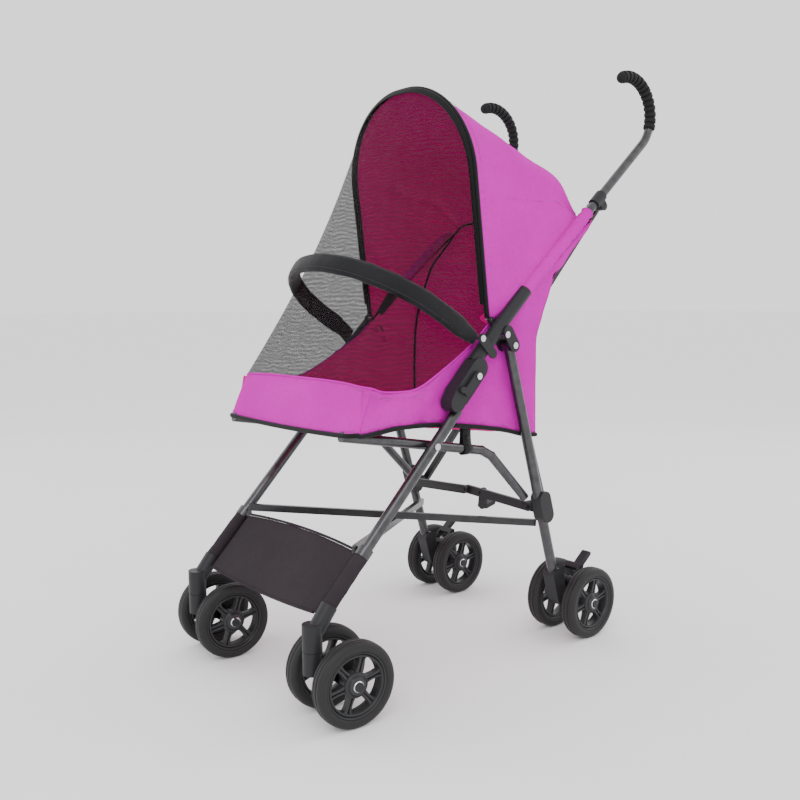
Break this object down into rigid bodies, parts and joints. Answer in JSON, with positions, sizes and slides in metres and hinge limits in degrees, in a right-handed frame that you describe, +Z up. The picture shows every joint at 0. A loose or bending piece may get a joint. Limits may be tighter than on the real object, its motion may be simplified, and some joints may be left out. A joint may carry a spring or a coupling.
{
  "type": "pet stroller",
  "caption": "Folding pet stroller: fabric cabin with a mesh front, cane handles, an X-braced tube frame and twin wheels on four corners.",
  "frame": {"origin": "on the floor, at the centre of the box round the stroller", "axes": "+Z up, the mesh front and footrest face -Y, the handles are at +Y"},
  "size_m": [0.4748, 0.8248, 1.0375],
  "materials": {
    "frame_tube": "satin",
    "cross_bars": "satin",
    "black_plastic": "matte",
    "grip_foam": "matte",
    "wheels": "soft gloss",
    "rivets": "polished",
    "bow_piping": "matte",
    "bumper_cover": "matte",
    "cabin_fabric": "matte",
    "mesh": "open net",
    "footrest_cloth": "matte"
  },
  "bodies": {
    "cabin": {"cabin_side_right": "cabin_fabric", "cabin_side_left": "cabin_fabric", "cabin_back": "cabin_fabric", "cabin_floor": "cabin_fabric", "front_band": "cabin_fabric", "canopy_roof": "cabin_fabric", "mesh_panel": "mesh", "footrest_panel": "footrest_cloth", "canopy_bow": "bow_piping"},
    "right_frame": {"handle_tube_right": "frame_tube", "grip_right": "grip_foam", "upper_sleeve_right": "black_plastic", "pivot_bracket_right": "black_plastic", "latch_housing_right": "black_plastic", "front_leg_right": "frame_tube", "caster_socket_right": "black_plastic", "cross_bracket_right": "black_plastic", "frame_rivets_right": "rivets"},
    "left_frame": {"handle_tube_left": "frame_tube", "grip_left": "grip_foam", "upper_sleeve_left": "black_plastic", "pivot_bracket_left": "black_plastic", "latch_housing_left": "black_plastic", "front_leg_left": "frame_tube", "caster_socket_left": "black_plastic", "cross_bracket_left": "black_plastic", "frame_rivets_left": "rivets"},
    "rear_leg_right_body": {"rear_leg_right": "frame_tube", "rear_collar_right": "black_plastic", "rear_wheel_housing_right": "black_plastic"},
    "seat_right": {"seat_tube_right": "frame_tube"},
    "yoke_right": {"cross_yoke_right": "cross_bars"},
    "back_bar_right": {"back_cross_bar_right": "cross_bars"},
    "lower_bar_right": {"lower_cross_bar_right": "cross_bars"},
    "lock_right": {"lock_bar_right": "black_plastic"},
    "caster_right": {"caster_fork_right": "black_plastic"},
    "front_right_outer": {"front_wheel_right_outer": "wheels"},
    "rear_right_outer": {"rear_wheel_right_outer": "wheels"},
    "front_right_inner": {"front_wheel_right_inner": "wheels"},
    "rear_right_inner": {"rear_wheel_right_inner": "wheels"},
    "pedal_right": {"brake_pedal_right": "black_plastic"},
    "catch_right": {"latch_catch_right": "black_plastic"},
    "rear_leg_left_body": {"rear_leg_left": "frame_tube", "rear_collar_left": "black_plastic", "rear_wheel_housing_left": "black_plastic"},
    "seat_left": {"seat_tube_left": "frame_tube"},
    "yoke_left": {"cross_yoke_left": "cross_bars"},
    "back_bar_left": {"back_cross_bar_left": "cross_bars"},
    "lower_bar_left": {"lower_cross_bar_left": "cross_bars"},
    "lock_left": {"lock_bar_left": "black_plastic"},
    "caster_left": {"caster_fork_left": "black_plastic"},
    "front_left_outer": {"front_wheel_left_outer": "wheels"},
    "rear_left_outer": {"rear_wheel_left_outer": "wheels"},
    "front_left_inner": {"front_wheel_left_inner": "wheels"},
    "rear_left_inner": {"rear_wheel_left_inner": "wheels"},
    "pedal_left": {"brake_pedal_left": "black_plastic"},
    "catch_left": {"latch_catch_left": "black_plastic"},
    "lever": {"foot_lever": "black_plastic"},
    "bumper": {"bumper_bar": "bumper_cover"}
  },
  "joints": [
    {"name": "fold", "type": "slide", "parent": "cabin", "child": "right_frame", "axis": [-1, 0, 0], "range_m": [0, 0.105], "deforming": ["cabin_side_right", "cabin_side_left", "cabin_back", "cabin_floor", "front_band", "canopy_roof", "mesh_panel", "footrest_panel", "canopy_bow", "bumper_bar"]},
    {"name": "fold_left", "type": "slide", "parent": "cabin", "child": "left_frame", "axis": [1, 0, 0], "range_m": [0, 0.10501]},
    {"name": "rear_leg_swing_right", "type": "hinge", "parent": "right_frame", "child": "rear_leg_right_body", "pos_m": [0.1765, 0.0187, 0.5422], "axis": [1, 0, 0], "range_deg": [-33.87, 0]},
    {"name": "seat_swing_right", "type": "hinge", "parent": "right_frame", "child": "seat_right", "pos_m": [0.1765, -0.151, 0.3875], "axis": [1, 0, 0], "range_deg": [0, 45.02]},
    {"name": "yoke_swing_right", "type": "hinge", "parent": "right_frame", "child": "yoke_right", "pos_m": [0.1555, 0.25791, 0.78756], "axis": [1, 0, 0], "range_deg": [-15.66, 0]},
    {"name": "back_bar_swing_right", "type": "hinge", "parent": "yoke_right", "child": "back_bar_right", "pos_m": [0.1555, 0.25791, 0.78756], "axis": [0, 0.9657, -0.2598], "range_deg": [-20.31, 0]},
    {"name": "lower_bar_swing_right", "type": "hinge", "parent": "cabin", "child": "lower_bar_right", "pos_m": [0, -0.0885, 0.229], "axis": [0, 0.089, 0.996], "range_deg": [-26.19, 0]},
    {"name": "lock_swing_right", "type": "hinge", "parent": "rear_leg_right_body", "child": "lock_right", "pos_m": [0.158, 0.092, 0.25], "axis": [0, 1, 0], "range_deg": [0, 67.55]},
    {"name": "caster_swivel_right", "type": "hinge", "parent": "right_frame", "child": "caster_right", "pos_m": [0.1765, -0.387, 0.112], "axis": [0, 0, 1], "continuous": true},
    {"name": "front_wheel_spin_right_outer", "type": "hinge", "parent": "caster_right", "child": "front_right_outer", "pos_m": [0.22198, -0.34653, 0.065], "axis": [0.9945, -0.1045, 0], "continuous": true},
    {"name": "rear_wheel_spin_right_outer", "type": "hinge", "parent": "rear_leg_right_body", "child": "rear_right_outer", "pos_m": [0.2155, 0.1984, 0.065], "axis": [1, 0, 0], "continuous": true},
    {"name": "front_wheel_spin_right_inner", "type": "hinge", "parent": "caster_right", "child": "front_right_inner", "pos_m": [0.14043, -0.33796, 0.065], "axis": [0.9945, -0.1045, 0], "continuous": true},
    {"name": "rear_wheel_spin_right_inner", "type": "hinge", "parent": "rear_leg_right_body", "child": "rear_right_inner", "pos_m": [0.1335, 0.1984, 0.065], "axis": [1, 0, 0], "continuous": true},
    {"name": "brake_pedal_right", "type": "hinge", "parent": "rear_leg_right_body", "child": "pedal_right", "pos_m": [0.1745, 0.184, 0.101], "axis": [1, 0, 0], "range_deg": [-20, 0]},
    {"name": "latch_catch_right", "type": "hinge", "parent": "right_frame", "child": "catch_right", "pos_m": [0.1945, -0.072, 0.496], "axis": [1, 0, 0], "range_deg": [0, 20]},
    {"name": "rear_leg_swing_left", "type": "hinge", "parent": "left_frame", "child": "rear_leg_left_body", "pos_m": [-0.1765, 0.0187, 0.5422], "axis": [1, 0, 0], "range_deg": [-33.87, 0]},
    {"name": "seat_swing_left", "type": "hinge", "parent": "left_frame", "child": "seat_left", "pos_m": [-0.1765, -0.151, 0.3875], "axis": [1, 0, 0], "range_deg": [0, 45.02]},
    {"name": "yoke_swing_left", "type": "hinge", "parent": "left_frame", "child": "yoke_left", "pos_m": [-0.1555, 0.25791, 0.78756], "axis": [1, 0, 0], "range_deg": [-15.66, 0]},
    {"name": "back_bar_swing_left", "type": "hinge", "parent": "yoke_left", "child": "back_bar_left", "pos_m": [-0.1555, 0.25791, 0.78756], "axis": [0, 0.9657, -0.2598], "range_deg": [0, 20.31]},
    {"name": "lower_bar_swing_left", "type": "hinge", "parent": "cabin", "child": "lower_bar_left", "pos_m": [0, -0.0885, 0.229], "axis": [0, 0.089, 0.996], "range_deg": [0, 26.19]},
    {"name": "lock_swing_left", "type": "hinge", "parent": "rear_leg_left_body", "child": "lock_left", "pos_m": [-0.158, 0.092, 0.25], "axis": [0, 1, 0], "range_deg": [-67.55, 0]},
    {"name": "caster_swivel_left", "type": "hinge", "parent": "left_frame", "child": "caster_left", "pos_m": [-0.1765, -0.387, 0.112], "axis": [0, 0, 1], "continuous": true},
    {"name": "front_wheel_spin_left_outer", "type": "hinge", "parent": "caster_left", "child": "front_left_outer", "pos_m": [-0.21257, -0.33796, 0.065], "axis": [0.9945, -0.1045, 0], "continuous": true},
    {"name": "rear_wheel_spin_left_outer", "type": "hinge", "parent": "rear_leg_left_body", "child": "rear_left_outer", "pos_m": [-0.2155, 0.1984, 0.065], "axis": [1, 0, 0], "continuous": true},
    {"name": "front_wheel_spin_left_inner", "type": "hinge", "parent": "caster_left", "child": "front_left_inner", "pos_m": [-0.13102, -0.34653, 0.065], "axis": [0.9945, -0.1045, 0], "continuous": true},
    {"name": "rear_wheel_spin_left_inner", "type": "hinge", "parent": "rear_leg_left_body", "child": "rear_left_inner", "pos_m": [-0.1335, 0.1984, 0.065], "axis": [1, 0, 0], "continuous": true},
    {"name": "brake_pedal_left", "type": "hinge", "parent": "rear_leg_left_body", "child": "pedal_left", "pos_m": [-0.1745, 0.184, 0.101], "axis": [1, 0, 0], "range_deg": [-20, 0]},
    {"name": "latch_catch_left", "type": "hinge", "parent": "left_frame", "child": "catch_left", "pos_m": [-0.1945, -0.072, 0.496], "axis": [1, 0, 0], "range_deg": [0, 20]},
    {"name": "foot_lever", "type": "hinge", "parent": "lock_right", "child": "lever", "pos_m": [0.036, 0.102, 0.25618], "axis": [0, 1, 0], "range_deg": [-20, 25]},
    {"name": "bumper", "type": "hinge", "parent": "cabin", "child": "bumper", "pos_m": [0, -0.058, 0.556], "axis": [1, 0, 0], "range_deg": [0, 18]}
  ],
  "couplings": [
    {"joint": "fold_left", "follows": "fold", "ratio": 1},
    {"joint": "rear_leg_swing_right", "follows": "fold", "rad_per_m": -5.6263},
    {"joint": "seat_swing_right", "follows": "fold", "rad_per_m": 7.48},
    {"joint": "yoke_swing_right", "follows": "fold", "rad_per_m": -2.5993},
    {"joint": "back_bar_swing_right", "follows": "fold", "rad_per_m": -3.372},
    {"joint": "lower_bar_swing_right", "follows": "fold", "rad_per_m": -4.3497},
    {"joint": "lock_swing_right", "follows": "fold", "rad_per_m": 11.225},
    {"joint": "rear_leg_swing_left", "follows": "fold", "rad_per_m": -5.6263},
    {"joint": "seat_swing_left", "follows": "fold", "rad_per_m": 7.48},
    {"joint": "yoke_swing_left", "follows": "fold", "rad_per_m": -2.5993},
    {"joint": "back_bar_swing_left", "follows": "fold", "rad_per_m": 3.372},
    {"joint": "lower_bar_swing_left", "follows": "fold", "rad_per_m": 4.3497},
    {"joint": "lock_swing_left", "follows": "fold", "rad_per_m": -11.225}
  ]
}
